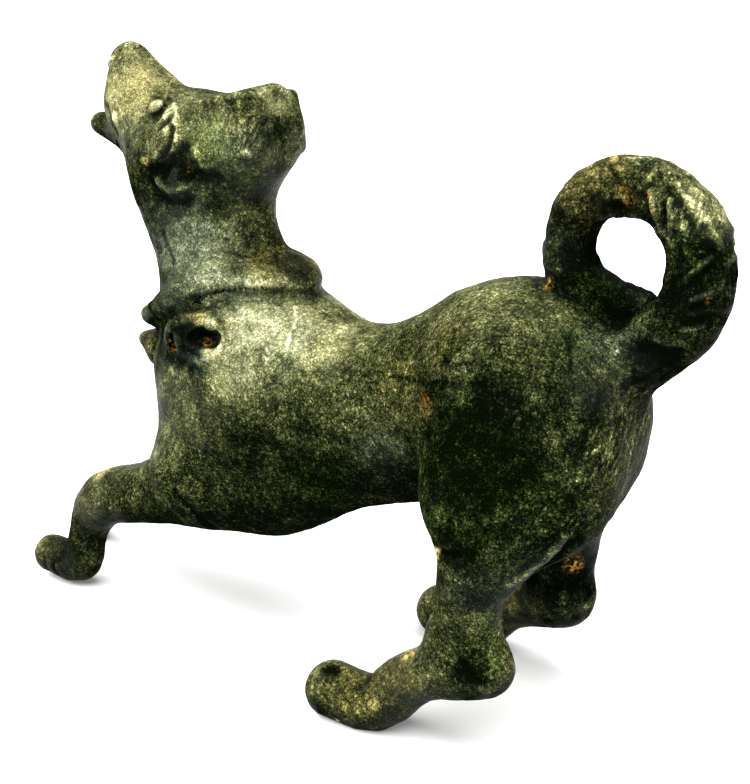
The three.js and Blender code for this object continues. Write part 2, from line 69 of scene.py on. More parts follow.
HEAD_BLOCK = dict(at=(-9.3, 0, 55.0), half=(5.4, 4.7, 3.3), round=0.7, pitch=-10, fillet=0.8)
UPPER_JAW = dict(a=(-22.8, 0, 57.2, 4.4), b=(-24.5, 0, 61.3, 2.35), width=0.95, fillet=3.2)
LOWER_JAW = dict(a=(-21.3, 0, 53.4, 2.8), b=(-29.6, 0, 54.8, 1.3), width=1.1, fillet=1.5)
MOUTH = dict(a=(-24.0, 0, 55.5, 0.5), b=(-30.5, 0, 59.0, 2.3), width=1.9, fillet=0.5)
EYE = dict(at=(-16.1, 4.15, 56.8), radii=(1.15, 1.15, 1.15))
EYE_GROOVE = dict(at=(-16.1, 4.5, 57.1), slope=45, radius=1.45, half_width=0.5, fillet=0.3)
EAR = dict(a=(-13.0, 4.9, 56.0, 1.2), b=(-11.9, 5.3, 50.4, 1.5), fillet=1)
EAR_HOLLOWS = (
    dict(a=(-13.5, 6.9, 54.3, 0.45), b=(-13.0, 7.6, 51.2, 1.05), fillet=0.4),
    dict(a=(-11.3, 6.9, 53.6, 0.45), b=(-10.2, 7.5, 50.9, 1.1), fillet=0.4),
)
COLLAR = dict(at=(-11.8, 0, 38.5), pitch=-35, half_length=9.8, half_width=6.8,
              throat_sag=-0.025, nape_sag=0.059, drop=0, radius=1.15, swell=0.15, fillet=2)
COLLAR_GROOVE = dict(COLLAR, at=(-11.1, 0, 38.95), half_length=9.4, drop=1.35, radius=0.45,
                     swell=0, fillet=0.25)
KNOB = dict(a=(-20.6, 0, 30.2, 2.5), b=(-24.3, 0, 30.8, 0.85), width=1.1, fillet=0.8)
BOSS = dict(a=(-10.8, 7.3, 34.3, 1.9), b=(-5.6, 7.1, 35.3, 1.9), fillet=1.2)
SOCKETS = (
    dict(at=(-10.7, 8.7, 33.9), radii=(0.75, 1.5, 1.1), pitch=-15, fillet=0.4),
    dict(at=(-6.3, 8.9, 35.0), radii=(2.15, 1.9, 1.1), pitch=-8, fillet=0.3),
)
LEFT_FORELEG = dict(fillet=3, joints=(
    (-11.9, -5.8, 17.9, 4.8), (-17.2, -5.6, 15.3, 3.6), (-26.4, -5.5, 12.3, 3.15),
    (-30.4, -5.2, 7.4, 2.2), (-31.9, -5.4, 3.0, 2.4), (-36.6, -5.8, 2.9, 2.25)))
RIGHT_FORELEG = dict(fillet=3, joints=(
    (-13.2, 5.0, 19.9, 4.6), (-24.4, 5.2, 13.3, 3.2), (-32.8, 5.2, 9.2, 2.6),
    (-38.6, 5.2, 5.5, 2.05), (-41.5, 5.3, 2.0, 1.8), (-42.9, 6.2, 1.6, 1.8)))
LEFT_THIGH = dict(at=(28.8, -5.8, 30.2), radii=(8.8, 5.0, 10.8), pitch=-15, fillet=4)
RIGHT_THIGH = dict(at=(25.8, 5.6, 30.1), radii=(8.1, 4.8, 10.8), pitch=-18, fillet=4)
LEFT_SHANK = dict(fillet=3, joints=(
    (26.7, -8.3, 25.2, 5.5), (27.4, -9.1, 20.8, 4.1), (26.3, -9.6, 16.5, 3.0),
    (27.5, -9.6, 10.7, 2.5)))
RIGHT_SHANK = dict(fillet=3, joints=(
    (27.2, 7.9, 21.2, 4.1), (25.4, 9.2, 17.1, 3.9), (25.9, 9.6, 11.9, 2.8),
    (25.7, 9.7, 9.4, 2.9)))
LEFT_ANKLE = dict(at=(24.8, -9.6, 11.2), radii=(3.0, 2.4, 3.8), fillet=2)
RIGHT_ANKLE = dict(at=(23.4, 9.7, 10.4), radii=(3.2, 2.4, 3.6), fillet=2)
LEFT_HIND_FOOT = dict(fillet=2, joints=(
    (28.3, -9.5, 9.6, 2.3), (21.2, -9.8, 7.1, 2.5), (16.4, -10.1, 2.6, 2.7),
    (11.5, -10.7, 2.7, 2.8)))
RIGHT_HIND_FOOT = dict(fillet=2, joints=(
    (25.6, 9.7, 8.8, 2.8), (19.4, 10.0, 6.1, 2.6), (15.0, 10.4, 2.5, 2.8),
    (10.0, 10.8, 2.3, 2.9)))
TAIL_GAP = dict(at=(33.9, 0, 41.5), radii=(2.8, 1.3, 1.7), fillet=1)
TAIL = dict(steps=5, fillet=1.6, joints=(
    (33.8, 0, 35.8, 3.4), (38.4, 0, 39.5, 3.1), (41.0, 0, 42.0, 2.85), (41.8, 0, 45.6, 2.8),
    (40.9, 0, 49.2, 2.75), (38.4, 0, 51.5, 2.6), (35.4, 0, 52.3, 2.5), (32.5, 0, 51.7, 2.35),
    (30.6, 0, 50.1, 2.3), (29.8, 0, 47.9, 2.2), (29.9, 0, 45.4, 2.25), (32.3, 0, 43.4, 1.9),
    (36.8, 0, 42.5, 1.3)))

# Distance fields: each shape takes x, y and z in mm, and is negative inside. A fillet rises by
# this share of its size, and a limb has this many steps between two joints.
FILLET_RISE = 0.25
LIMB_STEPS = 3
TINY = 1e-6


def cos_sin(degrees):
    return math.cos(math.radians(degrees)), math.sin(math.radians(degrees))


def join(a, b, fillet):
    h = np.maximum(fillet - np.abs(a - b), 0) / fillet
    return np.minimum(a, b) - h * h * fillet * FILLET_RISE


def cut(a, b, fillet):
    return -join(-a, b, fillet)


def ellipsoid(at, radii, pitch=0, **_):
    c, s = cos_sin(pitch)

    def shape(x, y, z):
        dx, dz = x - at[0], z - at[2]
        u = (dx * c - dz * s) / radii[0]
        v = (y - at[1]) / radii[1]
        w = (dx * s + dz * c) / radii[2]
        far = np.sqrt(u * u + v * v + w * w)
        slope = np.sqrt((u / radii[0]) ** 2 + (v / radii[1]) ** 2 + (w / radii[2]) ** 2)
        return far * (far - 1) / np.maximum(slope, TINY)
    return shape


def bar(a, b, width=1, **_):
    """A round bar from a to b, whose radius changes evenly along it."""
    axis = (b[0] - a[0], (b[1] - a[1]) / width, b[2] - a[2])
    square = sum(v * v for v in axis)
    thin = min(width, 1)

    def shape(x, y, z):
        dx, dy, dz = x - a[0], (y - a[1]) / width, z - a[2]
        t = np.clip((dx * axis[0] + dy * axis[1] + dz * axis[2]) / square, 0, 1)
        away = np.sqrt((dx - t * axis[0]) ** 2 + (dy - t * axis[1]) ** 2 + (dz - t * axis[2]) ** 2)
        return (away - a[3] - t * (b[3] - a[3])) * thin
    return shape


def horn(a, b, width=1, **_):
    """All the balls between two end balls, so the sides run smoothly into both."""
    axis = (b[0] - a[0], (b[1] - a[1]) / width, b[2] - a[2])
    length = math.sqrt(sum(v * v for v in axis))
    sine = (a[3] - b[3]) / length
    lean = sine / math.sqrt(1 - sine * sine)
    thin = min(width, 1)

    def shape(x, y, z):
        dx, dy, dz = x - a[0], (y - a[1]) / width, z - a[2]
        along = (dx * axis[0] + dy * axis[1] + dz * axis[2]) / length
        aside = np.sqrt(np.maximum(dx * dx + dy * dy + dz * dz - along * along, 0))
        t = np.clip((along - aside * lean) / length, 0, 1)
        return (np.hypot(aside, along - t * length) - a[3] - t * (b[3] - a[3])) * thin
    return shape


def block(at, half, round, pitch, **_):
    c, s = cos_sin(pitch)

    def shape(x, y, z):
        dx, dz = x - at[0], z - at[2]
        u = np.abs(dx * c - dz * s) - half[0] + round
        v = np.abs(y - at[1]) - half[1] + round
        w = np.abs(dx * s + dz * c) - half[2] + round
        out = np.sqrt(np.maximum(u, 0) ** 2 + np.maximum(v, 0) ** 2 + np.maximum(w, 0) ** 2)
        return out + np.minimum(np.maximum(u, np.maximum(v, w)), 0) - round
    return shape


def curve_through(joints, steps):
    """A smooth run of points and radii through the joints, with this many steps between two."""
    joints = np.array(joints, float)
    held = np.concatenate([2 * joints[:1] - joints[1:2], joints, 2 * joints[-1:] - joints[-2:-1]])
    out = []
    for i in range(len(joints) - 1):
        p0, p1, p2, p3 = held[i:i + 4]
        for t in np.arange(steps) / steps:
            out.append(0.5 * (2 * p1 + (p2 - p0) * t + (2 * p0 - 5 * p1 + 4 * p2 - p3) * t ** 2
                              + (3 * p1 - p0 - 3 * p2 + p3) * t ** 3))
    return np.array(out + [joints[-1]])


def limb(joints, steps=LIMB_STEPS, **_):
    line = curve_through(joints, steps)
    horns = [horn(a, b) for a, b in zip(line, line[1:])]

    def shape(x, y, z):
        d = horns[0](x, y, z)
        for other in horns[1:]:
            d = np.minimum(d, other(x, y, z))
        return d
    return shape


def ring(at, pitch, half_length, half_width, throat_sag, nape_sag, drop, radius, swell, **_):
    """An oval ring around the neck. A sag lowers one end of it, and it swells at the nape."""
    c, s = cos_sin(pitch)
    mean = (half_length + half_width) / 2

    def shape(x, y, z):
        dx, dz = x - at[0], z - at[2]
        u = (dx * c - dz * s) / half_length * mean
        v = y / half_width * mean
        w = dx * s + dz * c + drop + np.where(u < 0, throat_sag, nape_sag) * u * u
        out = np.sqrt(u * u + v * v)
        reach = half_width + (half_length - half_width) * np.abs(u) / np.maximum(out, TINY)
        thick = radius + swell * np.clip(u / mean, 0, 1)
        return np.sqrt(((out - mean) * reach / mean) ** 2 + w * w) - thick
    return shape


def back_of_head(**_):
    """The bar of the back of the head, ended by a nearly upright plane."""
    whole = bar(**BACK_OF_HEAD)

    def shape(x, y, z):
        in_front = HEAD_END["x"] - x - HEAD_END["lean"] * (z - HEAD_END["z"])
        return cut(whole(x, y, z), in_front, HEAD_END["rounding"])
    return shape


def round_groove(at, slope, radius, half_width, **_):
    """A ring on a sloping side of the head; slope is the angle of its axis above level."""
    c, s = cos_sin(slope)

    def shape(x, y, z):
        dy, dz = y - at[1], z - at[2]
        out = dy * c + dz * s
        across = np.sqrt((x - at[0]) ** 2 + (dz * c - dy * s) ** 2)
        return np.sqrt((across - radius) ** 2 + out * out) - half_width
    return shape


def both_sides(make):
    """The same kind of shape, mirrored from the right to the left."""
    def mirrored(**spec):
        shape = make(**spec)
        return lambda x, y, z: shape(x, np.abs(y), z)
    return mirrored


# Further off than this a shape leaves the surface alone, because no fillet is wider.
REACH = 5.0


def within_reach(shape, low, high):
    """The shape in its box and up to REACH around it, and the value REACH beyond."""
    low, high = np.array(low) - REACH, np.array(high) + REACH

    def bounded(x, y, z):
        close = ((x > low[0]) & (x < high[0]) & (y > low[1]) & (y < high[1])
                 & (z > low[2]) & (z < high[2]))
        d = np.full(len(x), REACH)
        d[close] = shape(x[close], y[close], z[close])
        return d
    return bounded


def built(make, spec):
    """The shape and its fillet. A shape through points is worked out only within its reach."""
    shape = make(**spec)
    if "joints" in spec:
        joints = np.array(spec["joints"])
        r = joints[:, 3:]
        shape = within_reach(shape, (joints[:, :3] - r).min(0), (joints[:, :3] + r).max(0))
    elif "a" in spec:
        ends = np.array([spec["a"], spec["b"]])
        r = ends[:, 3:] * max(1, spec.get("width", 1))
        low, high = (ends[:, :3] - r).min(0), (ends[:, :3] + r).max(0)
        # A mirrored bar lies on both sides.
        low[1] = min(low[1], -high[1])
        shape = within_reach(shape, low, high)
    return shape, spec["fillet"]


CHEST_FIELD = ellipsoid(**CHEST)
EYES_FIELD = both_sides(ellipsoid)(**EYE)
BODY = [built(make, spec) for make, spec in (
    (ellipsoid, STERNUM), (both_sides(ellipsoid), SHOULDER), (bar, RIBS), (bar, LOIN),
    (ellipsoid, RUMP), (ellipsoid, BUTTOCKS), (bar, NECK_BASE), (bar, NECK),
    (ellipsoid, SKULL), (back_of_head, BACK_OF_HEAD), (block, HEAD_BLOCK), (horn, UPPER_JAW),
    (horn, LOWER_JAW), (both_sides(bar), EAR), (limb, LEFT_FORELEG), (limb, RIGHT_FORELEG),
    (ellipsoid, LEFT_THIGH), (ellipsoid, RIGHT_THIGH), (limb, LEFT_SHANK), (limb, RIGHT_SHANK),
    (ellipsoid, LEFT_ANKLE), (ellipsoid, RIGHT_ANKLE), (limb, LEFT_HIND_FOOT),
    (limb, RIGHT_HIND_FOOT), (limb, TAIL), (ellipsoid, TAIL_GAP), (ring, COLLAR), (horn, KNOB),
    (both_sides(bar), BOSS))]
CARVING = [built(make, spec) for make, spec in (
    (bar, MOUTH), (both_sides(round_groove), EYE_GROOVE),
    *((both_sides(bar), hollow) for hollow in EAR_HOLLOWS), (ring, COLLAR_GROOVE),
    *((both_sides(ellipsoid), socket) for socket in SOCKETS))]


def dog(x, y, z):
    d = CHEST_FIELD(x, y, z)
    for shape, fillet in BODY:
        d = join(d, shape(x, y, z), fillet)
    for shape, fillet in CARVING:
        d = cut(d, shape(x, y, z), fillet)
    return np.maximum(np.minimum(d, EYES_FIELD(x, y, z)), -z)


def field(points):
    return dog(points[:, 0], points[:, 1], points[:, 2])


# The threads split their work into this many parts.
SHARES = 60
# A slope is measured from this many mm on either side.
SLOPE_PROBE = 0.05
# A step to the surface takes the square of the slope to be at least this.
LEAST_SQUARE = 0.25


def shared_out(work, points):
    """The same as work(points), done in parts at the same time."""
    with ThreadPoolExecutor() as pool:
        return np.concatenate(list(pool.map(work, np.array_split(points, SHARES))))


def slope_of(points):
    parts = []
    for axis in np.eye(3) * SLOPE_PROBE:
        parts.append((field(points + axis) - field(points - axis)) / (2 * SLOPE_PROBE))
    return np.stack(parts, 1)


def step_to_surface(points, longest):
    slope = slope_of(points)
    size = np.maximum((slope ** 2).sum(1), LEAST_SQUARE)
    d = np.clip(field(points), -longest, longest)
    return points - slope * (d / size)[:, None]


# The mesh. The grid is filled in cubes of BLOCK points each way, and only those whose centre is
# within BLOCK_MARGIN widths of the surface are worked out point by point.
BLOCK = 8
BLOCK_MARGIN = 1.3
# The points of the mesh are pulled onto the surface this often.
NET_PULLS = 2
CORNERS = np.array([[i, j, k] for i in (0, 1) for j in (0, 1) for k in (0, 1)])


def sample(low, high, step):
    """The field's values on the grid."""
    count = np.ceil((high - low) / step / BLOCK).astype(int)
    centres = [low[i] + (np.arange(count[i]) * BLOCK + (BLOCK - 1) / 2) * step for i in range(3)]
    coarse = np.stack(np.meshgrid(*centres, indexing="ij"), -1).reshape(-1, 3)
    rough = field(coarse)
    close = np.abs(rough) < BLOCK * step * BLOCK_MARGIN
    values = np.empty((len(rough), BLOCK, BLOCK, BLOCK), np.float32)
    values[:] = rough[:, None, None, None]
    inner = (np.arange(BLOCK) - (BLOCK - 1) / 2) * step
    offsets = np.stack(np.meshgrid(inner, inner, inner, indexing="ij"), -1).reshape(-1, 3)

    def fill(blocks):
        points = (coarse[blocks][:, None, :] + offsets[None]).reshape(-1, 3)
        values[blocks] = field(points).reshape(len(blocks), BLOCK, BLOCK, BLOCK)
    with ThreadPoolExecutor() as pool:
        list(pool.map(fill, np.array_split(np.flatnonzero(close), SHARES)))
    grid = values.reshape(*count, BLOCK, BLOCK, BLOCK).transpose(0, 3, 1, 4, 2, 5)
    return grid.reshape(count * BLOCK)


def net_points(values, low, step):
    """A point in each grid cell that the surface crosses, and the point's number by cell."""
    held = [values[i:values.shape[0] - 1 + i, j:values.shape[1] - 1 + j,
                   k:values.shape[2] - 1 + k] for i, j, k in CORNERS]
    inside = sum((corner < 0).astype(np.int8) for corner in held)
    cells = np.argwhere((inside > 0) & (inside < len(CORNERS)))
    number = np.full(inside.shape, -1, np.int64)
    number[tuple(cells.T)] = np.arange(len(cells))
    held = np.stack([corner[tuple(cells.T)] for corner in held], 1)
    total = np.zeros((len(cells), 3))
    hits = np.zeros(len(cells))
    for a in range(len(CORNERS)):
        for b in range(a + 1, len(CORNERS)):
            if np.abs(CORNERS[a] - CORNERS[b]).sum() != 1:
                continue
            crossed = (held[:, a] < 0) != (held[:, b] < 0)
            t = held[crossed, a] / (held[crossed, a] - held[crossed, b])
            total[crossed] += CORNERS[a] + t[:, None] * (CORNERS[b] - CORNERS[a])
            hits[crossed] += 1
    return low + (cells + total / hits[:, None]) * step, number


def net_quads(values, number):
    """A quad across each grid edge that the surface crosses, facing out."""
    quads = []
    for axis in range(3):
        p, q = (axis + 1) % 3, (axis + 2) % 3
        first = [slice(1, -1)] * 3
        second = [slice(1, -1)] * 3
        first[axis], second[axis] = slice(0, -1), slice(1, None)
        a, b = values[tuple(first)] < 0, values[tuple(second)] < 0
        where = np.argwhere(a != b)
        inward = a[tuple(where.T)]
        base = where.copy()
        base[:, [p, q]] += 1
        around = []
        for dp, dq in ((0, 0), (-1, 0), (-1, -1), (0, -1)):
            cell = base.copy()
            cell[:, p] += dp
            cell[:, q] += dq
            around.append(number[tuple(cell.T)])
        quad = np.stack(around, 1)
        quad[~inward] = quad[~inward][:, ::-1]
        quads.append(quad)
    return np.concatenate(quads)


# Relief: what the casting and time left on the surface, in mm. Randomness is a fixed number for
# each cell of space and seed, so each kind has seeds of its own.
SEED = 7
SEEDS = dict(waves=0, tail=10, boss=12, ragged=20, pits=30, zones=50)
# Cell size and depth of the waves that the skin is made of.
WAVES = ((5.5, 0.11), (2.3, 0.06), (1.1, 0.04), (0.6, 0.03))
# On the head the waves are weaker by this share, which sets in between these places.
HEAD_CALM = dict(share=0.5, z=(46, 50), x=(0, -4))
# The tail has sharp ridges as well, which set in between these places.
TAIL_WAVES = ((2.2, 0.12), (1.0, 0.065))
TAIL_EXTENT = dict(z=(41, 45), x=(24, 29))
RIDGE_SHARPNESS = 3
# The boss is rough around its middle, fading out between these distances.
BOSS_MIDDLE = np.array(BOSS["a"][:3]) * 0.5 + np.array(BOSS["b"][:3]) * 0.5
BOSS_FADE = (5, 2.5)
BOSS_CELL = 1.3
BOSS_ROUGHNESS = 0.36
# Cell size, radius, depth and share of the cells that hold a pit.
PITS = ((2.6, 0.42, 0.16, 0.3), (1.5, 0.25, 0.11, 0.4))
PIT_SEEDS = 6
# The relief fades in between these heights, so the soles stay flat.
SOLE_FADE = (0.1, 0.6)


def circle(at, slope, radius, points=16):
    """A path on the left side, around the middle of a round groove."""
    c, s = cos_sin(slope)
    turns = [2 * math.pi * i / points for i in range(points + 1)]
    return [(at[0] + radius * math.cos(t), -at[1] + radius * s * math.sin(t),
             at[2] + radius * c * math.sin(t)) for t in turns]


# Lines that stand proud or lie deep: height, half width, and a path on the left side.
LINES_ON_BOTH_SIDES = dict(
    eye_ring=(-0.3, 0.22, circle(EYE_GROOVE["at"], EYE_GROOVE["slope"], EYE_GROOVE["radius"])),
    ear_groove=(-0.45, 0.45, ((-12.1, -6.2, 55.2), (-12.5, -6.8, 53.5), (-14.5, -6.6, 51.4))),
    ear_ridge=(0.22, 0.25, ((-13.2, -4.6, 57.3), (-11.8, -6.1, 55.3), (-11.3, -6.5, 53.4))),
    front_pocket=(-0.6, 0.7, ((-14.8, -6.5, 50.9), (-13.4, -6.6, 51.5), (-11.8, -7.0, 52.3))),
    rear_pocket=(-0.8, 0.85, ((-10.7, -6.4, 53.1), (-9.9, -6.4, 51.7), (-9.5, -6.2, 50.4))),
    pocket_end=(-0.45, 0.7, ((-9.4, -6.2, 51.1), (-8.2, -5.6, 50.5), (-7.4, -5.0, 50.5))),
    ear_rim=(0.22, 0.35, ((-14.6, -6.4, 49.9), (-13.0, -6.6, 49.0), (-11.1, -6.7, 49.1),
                        (-9.8, -6.3, 49.8))),
    below_ear=(-0.35, 0.45, ((-15.3, -6.4, 50.0), (-14.7, -6.1, 48.4), (-12.9, -6.1, 47.8),
                             (-10.4, -5.8, 48.1))),
    eye_corner=(-0.35, 0.3, ((-14.2, -6.0, 55.4), (-12.8, -6.2, 55.9), (-12.5, -5.6, 56.7))),
    brow=(-0.2, 0.18, ((-14.2, -2.4, 58.4), (-13.4, -2.4, 58.4))),
    lip=(-0.35, 0.35, ((-24.3, -4.1, 56.9), (-23.9, -4.0, 55.5), (-23.0, -3.8, 54.2))),
    lip_bump=(0.35, 0.45, ((-22.7, -4.3, 55.7), (-22.5, -4.3, 55.5))),
    nostril=(0.3, 0.4, ((-24.9, -2.2, 61.9), (-25.3, -2.1, 61.3))),
    socket_lip=(0.35, 0.6, ((-9.3, -7.8, 36.3), (-7.5, -8.0, 36.6), (-5.6, -7.9, 36.5))),
    socket_rim=(0.1, 0.4, ((-9.2, -8.9, 33.1), (-7.8, -9.1, 32.8), (-6.2, -9.3, 32.8),
                           (-3.9, -8.9, 34.2), (-3.7, -8.3, 35.4))),
    collar_shadow=(-0.6, 0.32, ((-13.4, -6.9, 36.9), (-12.0, -6.9, 37.5), (-9.3, -6.9, 38.5),
                                (-5.9, -5.6, 39.8), (-4, -4, 40.3))),
    armpit=(-0.25, 0.5, ((-9.8, -10.9, 18.1), (-8.4, -9.7, 16.1), (-8.2, -6.4, 13.9))),
    root_crease=(-0.25, 0.25, ((33.4, -6.1, 40.5), (34.2, -7.0, 39.4), (34.6, -7.6, 38.1))),
    calf_edge=(0.22, 0.4, ((35.1, -8.5, 23.8), (33.3, -8.5, 21.0), (32.1, -9.6, 19.6),
                           (31.2, -10.8, 19.1))),
    calf_fold=(-0.4, 0.5, ((35.4, -7.9, 23.1), (33.2, -7.3, 19.8), (31.4, -7.6, 18.0))),
    knee_fold=(-0.35, 0.3, ((24.6, -12.7, 21.4), (26.2, -13.5, 21.6), (27.4, -13.6, 21.9))),
    tail_rib=(0.25, 0.17, ((37.9, -2.4, 52.4), (38.5, -2.5, 50.7), (39.1, -2.3, 49.0),
                           (39.9, -2.4, 48.2))),
    tail_cut=(-0.25, 0.2, ((37.4, -2.4, 52.2), (37.9, -2.4, 50.5), (38.2, -1.6, 49.0))),
    tail_band=(0.2, 0.35, ((39.9, -1.7, 52.9), (41.6, -1.9, 51.2), (42.9, -1.7, 49.9),
                           (43.6, -1.1, 48.3))),
    tail_hollow=(-0.22, 0.5, ((39.4, -2.2, 52.4), (41.1, -2.4, 50.6), (42.4, -2.3, 49.1),
                              (43.1, -1.9, 47.9))),
    tail_pocket=(-0.5, 0.9, ((38.6, -3.3, 39.0), (39.6, -3.0, 39.5), (40.8, -2.5, 39.6))),
)
LINES_ON_THE_LEFT = dict(
    neck=(-0.2, 0.4, ((-14.8, -5.7, 44.6), (-14.4, -5.6, 43.1), (-13.3, -5.9, 41.7))),
    collar_nick=(-0.12, 0.3, ((-3.7, -0.6, 42.4), (-1.6, -2.6, 41.2))),
    withers_arc=(0.14, 0.16, ((0.7, -2.9, 38.2), (1.9, -4.1, 37.0), (2.5, -6.4, 34.5))),
    chest_cut=(0.1, 0.13, ((-8.3, -9.3, 30.6), (-6.1, -9.4, 29.5))),
    chest_cut_above=(0.1, 0.13, ((-7.1, -9.3, 31.6), (-4.2, -9.5, 30.1))),
    hip_nick=(-0.25, 0.18, ((22.6, -9.1, 37.9), (23.4, -9.6, 37.4))),
    hip_crease=(-0.15, 0.35, ((15.5, -6.4, 34.2), (21.6, -9.4, 35.1), (27.8, -10.4, 36.4))),
    root_dent=(-0.12, 0.3, ((34.6, -7.6, 38.1), (34.0, -8.7, 37.2), (33.1, -9.2, 37.1))),
    tail_top_cut=(-0.25, 0.2, ((33.1, -0.4, 54.3), (34.7, -2.1, 53.4), (35.3, -2.4, 52.7))),
    tail_rib_two=(0.3, 0.17, ((39.7, -2.3, 51.9), (39.9, -2.6, 50.2), (39.9, -2.5, 48.5))),
    tail_cut_two=(-0.25, 0.2, ((39.3, -2.5, 51.7), (39.4, -2.5, 50.0))),
    tail_rib_three=(0.15, 0.15, ((41.4, -2.7, 49.2), (41.3, -2.7, 47.8))),
    tail_rib_four=(0.25, 0.17, ((43.2, -1.9, 47.5), (42.5, -2.5, 46.7), (41.5, -2.8, 45.5))),
    tail_cut_four=(-0.25, 0.2, ((43.4, -1.9, 46.9), (42.8, -2.5, 46.1), (42.0, -2.8, 45.1))),
    tail_rib_five=(0.25, 0.17, ((43.5, -2.0, 44.9), (43.0, -2.4, 44.5), (42.2, -2.6, 44.1))),
    tail_cut_five=(-0.25, 0.2, ((43.6, -1.8, 44.3), (42.8, -2.4, 43.8), (42.1, -2.6, 43.4))),
    tail_rib_six=(0.22, 0.17, ((43.0, -2.0, 41.9), (42.4, -2.4, 41.6), (41.5, -2.8, 41.5))),
    tail_cut_six=(-0.25, 0.2, ((43.2, -1.8, 42.8), (42.5, -2.5, 42.4), (41.6, -2.9, 42.2))),
    tail_scratch=(-0.12, 0.15, ((41.7, -2.1, 50.8), (42.7, -2.0, 49.8))),
    tail_facet=(0.2, 0.2, ((37.8, -1.4, 53.9), (37.5, -2.2, 52.9))),
    tail_rim=(0.15, 0.3, ((35.0, -1.1, 54.6), (36.9, -0.6, 54.6), (38.3, 0.7, 54.2))),
    root_ridge=(0.25, 0.3, ((39.4, -3.1, 40.5), (40.4, -2.8, 40.1), (41.4, -2.5, 40.2))),
    under_tail=(-0.2, 0.35, ((37.0, -3.1, 36.2), (38.2, -2.4, 36.6), (39.5, -2.4, 37.5))),
    toe_dent=(-0.4, 0.45, ((11.6, -11.5, 5.3), (12.4, -11.4, 5.3))),
    toe_saddle=(-0.25, 0.5, ((15.5, -9.7, 5.7), (16.0, -11.2, 5.6))),
    ankle_pits=(-0.2, 0.5, ((27.4, -12.3, 11.6), (28.5, -12.3, 10.3), (29.6, -11.7, 9.9))),
    paw_cut=(-0.22, 0.2, ((-34.0, -7.4, 3.2), (-34.2, -7.2, 2.2))),
    paw_cut_two=(-0.22, 0.2, ((-35.7, -7.7, 3.4), (-35.6, -7.2, 1.8))),
)

# A line is traced with points this far apart, which are pulled onto the surface this often, by
# this much at most.
LINE_STEP = 0.15
LINE_PULLS = 4
LINE_PULL = 0.5
# A line ends this many half widths away. Its edges wander this far, in cells of this size.
LINE_REACH = 2
RAGGED_DEPTH = 0.1
RAGGED_CELL = 0.8

# Factors that spread the numbers of a cell and a seed over all 32 bits.
CELL_FACTORS = (73856093, 19349663, 83492791)
SEED_FACTOR = 2654435761
MIXING = ((15, 2246822519), (13, 3266489917), (16, 668265263))
LAST_SHIFT = 15
ALL_NUMBERS = 2 ** 32
# How far apart the noises of two seeds lie, in cells.
SEED_SHIFT = 17.3
NEIGHBOURS = np.stack(np.meshgrid(*[[-1, 0, 1]] * 3), -1).reshape(-1, 3)


def random_at(cells, seed):
    """A fixed random number from 0 to 1 for each whole-number cell."""
    c = cells.astype(np.int64).astype(np.uint32)
    h = c[..., 0] * np.uint32(CELL_FACTORS[0]) ^ c[..., 1] * np.uint32(CELL_FACTORS[1])
    h = h ^ c[..., 2] * np.uint32(CELL_FACTORS[2])
    h = h ^ np.uint32((seed * SEED_FACTOR + SEED) % ALL_NUMBERS)
    for shift, factor in MIXING:
        h = (h ^ (h >> np.uint32(shift))) * np.uint32(factor)
    return (h ^ (h >> np.uint32(LAST_SHIFT))) / float(ALL_NUMBERS)


def smooth(low, high, value):
    """From 0 at low to 1 at high, with level ends."""
    t = np.clip((value - low) / (high - low), 0, 1)
    return t * t * (3 - 2 * t)


def noise(points, cell, seed):
    """Smooth random waves from -1 to 1."""
    q = points / cell + seed * SEED_SHIFT
    base = np.floor(q)
    f = smooth(0, 1, q - base)
    total = 0
    for corner in CORNERS:
        share = np.prod(np.where(corner, f, 1 - f), axis=1)
        total = total + share * random_at(base + corner, seed)
    return 2 * total - 1


def distance(points, at):
    return np.sqrt(((points - at) ** 2).sum(1))


def pits(points, cell, radius, depth, share, seed):
    """Round pits at random places, from half to one and a half times the radius wide."""
    base = np.floor(points / cell)
    total = np.zeros(len(points))
    for offset in NEIGHBOURS:
        held = base + offset
        at = (held + np.stack([random_at(held, seed + i) for i in range(3)], 1)) * cell
        reach = radius * (0.5 + random_at(held, seed + 3))
        away = distance(points, at) / reach
        there = random_at(held, seed + 4) < share
        total = np.maximum(total, np.where(there, np.maximum(1 - away ** 2, 0), 0))
    return -depth * total


def on_side(points, side):
    """The points, with those of the other side mirrored: side is 1 for right, -1 for left."""
    return points * (1, 0, 1) + side * np.abs(points * (0, 1, 0))


def traced(paths):
    """Each path with close points, brought onto the surface."""
    lines = []
    for path in paths:
        path = np.array(path, float)
        line = [path[:1]]
        for a, b in zip(path, path[1:]):
            count = max(2, int(np.linalg.norm(b - a) / LINE_STEP))
            line.append(a + (b - a) * (np.arange(1, count + 1) / count)[:, None])
        lines.append(np.concatenate(line))
    together = np.concatenate(lines)
    for _ in range(LINE_PULLS):
        together = step_to_surface(together, LINE_PULL)
    return np.split(together, np.cumsum([len(line) for line in lines])[:-1])


MARKS = [(height, width, path, lines is LINES_ON_BOTH_SIDES)
         for lines in (LINES_ON_BOTH_SIDES, LINES_ON_THE_LEFT)
         for height, width, path in lines.values()]
TRACED = traced([path for _, _, path, _ in MARKS])


